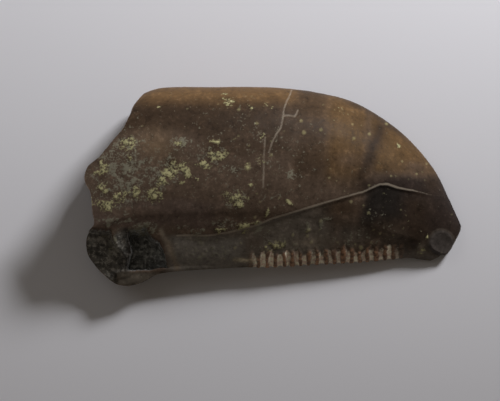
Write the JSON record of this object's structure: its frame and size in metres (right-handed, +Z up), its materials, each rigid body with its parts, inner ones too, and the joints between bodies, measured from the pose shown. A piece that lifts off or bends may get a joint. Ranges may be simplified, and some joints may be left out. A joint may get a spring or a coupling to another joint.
{
  "type": "fossil dinosaur tooth",
  "caption": "Flattened, blade-like fossil tooth crown with a serrated back edge, a broken base and a worn tip, lying on its side.",
  "frame": {"origin": "centre of the tooth's outline seen from above, on the surface that it lies on", "axes": "+X from the broken base to the tip, +Y towards the smooth front edge, away from the serrations, +Z up through the blade's thickness"},
  "size_m": [0.0131, 0.007, 0.0029],
  "materials": {
    "fossil_enamel": "dark brown mineralised enamel, softly polished, with pale crusts of rock"
  },
  "bodies": {
    "root": {"tooth": "fossil_enamel"}
  },
  "joints": []
}
